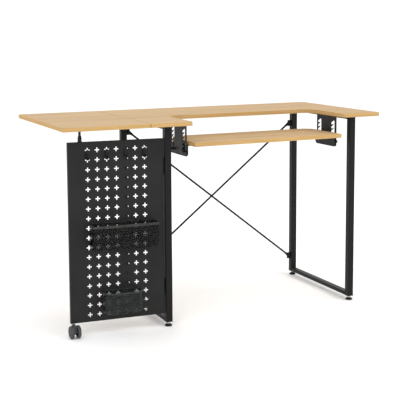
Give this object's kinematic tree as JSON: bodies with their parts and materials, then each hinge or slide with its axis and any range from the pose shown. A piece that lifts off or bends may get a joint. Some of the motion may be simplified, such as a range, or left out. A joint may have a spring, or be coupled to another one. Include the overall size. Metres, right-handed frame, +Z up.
{
  "type": "sewing table",
  "caption": "Sewing table with a machine cut-out and height-set platform, a drop leaf held by a swing-out pegboard panel on a caster, storage cups and a crossed rear brace.",
  "frame": {"origin": "on the floor, under the middle of the table top with its leaf raised", "axes": "+X along the table's length, away from the drop leaf; +Y to the back; +Z up"},
  "size_m": [1.29, 0.58, 0.762],
  "materials": {
    "oak": "light oak laminate, satin",
    "black_steel": "black powder coat, satin",
    "black_fastener": "black zinc plate",
    "zinc_steel": "bright zinc",
    "black_plastic": "moulded, matte",
    "caster_plastic": "dark grey nylon",
    "caster_tread": "grey tread",
    "rubber_pad": "black rubber",
    "smoky_plastic": "smoky translucent"
  },
  "bodies": {
    "frame": {"main_top": "oak", "front_left_leg": "black_steel", "rear_left_leg": "black_steel", "front_right_leg": "black_steel", "rear_right_leg": "black_steel", "left_bottom_rail": "black_steel", "left_top_rail": "black_steel", "right_bottom_rail": "black_steel", "right_top_rail": "black_steel", "foot_inserts": "black_plastic", "brace_rod_falling": "black_steel", "brace_rod_rising": "black_steel", "brace_ears": "black_steel", "brace_bolts": "black_fastener", "left_lift_bracket": "black_steel", "right_lift_bracket": "black_steel", "bracket_screws": "zinc_steel", "rail_screws": "zinc_steel", "leaf_hinge_fixed_plates": "zinc_steel", "leaf_hinge_pins": "zinc_steel", "leaf_hinge_fixed_screws": "zinc_steel", "panel_hinge_leg_plates": "black_fastener", "panel_hinge_pins": "black_fastener", "panel_hinge_leg_screws": "black_fastener"},
    "leaf": {"side_leaf": "oak", "leaf_hinge_moving_plates": "zinc_steel", "leaf_hinge_moving_screws": "zinc_steel"},
    "panel": {"pegboard_panel": "black_steel", "panel_hinge_plates": "black_fastener", "panel_hinge_rivets": "black_fastener", "leaf_rest_post": "black_fastener", "leaf_rest_pad": "rubber_pad", "caster_socket": "zinc_steel"},
    "platform": {"platform_board": "oak", "left_platform_angle": "black_steel", "right_platform_angle": "black_steel", "platform_screws": "zinc_steel", "lift_pins": "black_fastener"},
    "caster": {"caster_housing": "caster_plastic", "caster_stem": "zinc_steel", "caster_axle": "zinc_steel"},
    "caster_left_wheel": {"caster_left_tread": "caster_tread", "caster_left_hub": "caster_plastic"},
    "caster_right_wheel": {"caster_right_tread": "caster_tread", "caster_right_hub": "caster_plastic"},
    "tray": {"storage_tray": "smoky_plastic"},
    "bin": {"storage_bin": "smoky_plastic"},
    "hook_1": {"hook_1": "black_steel"},
    "hook_2": {"hook_2": "black_steel"},
    "hook_3": {"hook_3": "black_steel"},
    "hook_4": {"hook_4": "black_steel"},
    "front_left_foot": {"front_left_foot_glide": "black_plastic", "front_left_foot_stud": "zinc_steel"},
    "front_right_foot": {"front_right_foot_glide": "black_plastic", "front_right_foot_stud": "zinc_steel"},
    "rear_left_foot": {"rear_left_foot_glide": "black_plastic", "rear_left_foot_stud": "zinc_steel"},
    "rear_right_foot": {"rear_right_foot_glide": "black_plastic", "rear_right_foot_stud": "zinc_steel"}
  },
  "joints": [
    {"name": "leaf_lift", "type": "hinge", "parent": "frame", "child": "leaf", "pos_m": [-0.3235, 0, 0.7443], "axis": [0, 1, 0], "range_deg": [0, 8]},
    {"name": "panel_swing", "type": "hinge", "parent": "frame", "child": "panel", "pos_m": [-0.2495, -0.2085, 0], "axis": [0, 0, 1], "range_deg": [-79, 4.3]},
    {"name": "platform_lift", "type": "slide", "parent": "frame", "child": "platform", "axis": [0, 0, 1], "range_m": [0, 0.078]},
    {"name": "caster_swivel", "type": "hinge", "parent": "panel", "child": "caster", "pos_m": [-0.59303, -0.19596, 0], "axis": [0, 0, 1], "continuous": true},
    {"name": "caster_left_wheel_spin", "type": "hinge", "parent": "caster", "child": "caster_left_wheel", "pos_m": [-0.59372, -0.21595, 0.023], "axis": [0.9994, -0.0349, 0], "continuous": true},
    {"name": "caster_right_wheel_spin", "type": "hinge", "parent": "caster", "child": "caster_right_wheel", "pos_m": [-0.59372, -0.21595, 0.023], "axis": [0.9994, -0.0349, 0], "continuous": true},
    {"name": "tray_unhook", "type": "slide", "parent": "panel", "child": "tray", "axis": [0, 0, 1], "range_m": [0, 0.008]},
    {"name": "bin_unhook", "type": "slide", "parent": "panel", "child": "bin", "axis": [0, 0, 1], "range_m": [0, 0.008]},
    {"name": "hook_1_unhook", "type": "slide", "parent": "panel", "child": "hook_1", "axis": [0, 0, 1], "range_m": [0, 0.008]},
    {"name": "hook_2_unhook", "type": "slide", "parent": "panel", "child": "hook_2", "axis": [0, 0, 1], "range_m": [0, 0.008]},
    {"name": "hook_3_unhook", "type": "slide", "parent": "panel", "child": "hook_3", "axis": [0, 0, 1], "range_m": [0, 0.008]},
    {"name": "hook_4_unhook", "type": "slide", "parent": "panel", "child": "hook_4", "axis": [0, 0, 1], "range_m": [0, 0.008]},
    {"name": "front_left_foot_screw", "type": "slide", "parent": "frame", "child": "front_left_foot", "axis": [0, 0, 1], "range_m": [-0.012, 0]},
    {"name": "front_right_foot_screw", "type": "slide", "parent": "frame", "child": "front_right_foot", "axis": [0, 0, 1], "range_m": [-0.012, 0]},
    {"name": "rear_left_foot_screw", "type": "slide", "parent": "frame", "child": "rear_left_foot", "axis": [0, 0, 1], "range_m": [-0.012, 0]},
    {"name": "rear_right_foot_screw", "type": "slide", "parent": "frame", "child": "rear_right_foot", "axis": [0, 0, 1], "range_m": [-0.012, 0]}
  ]
}
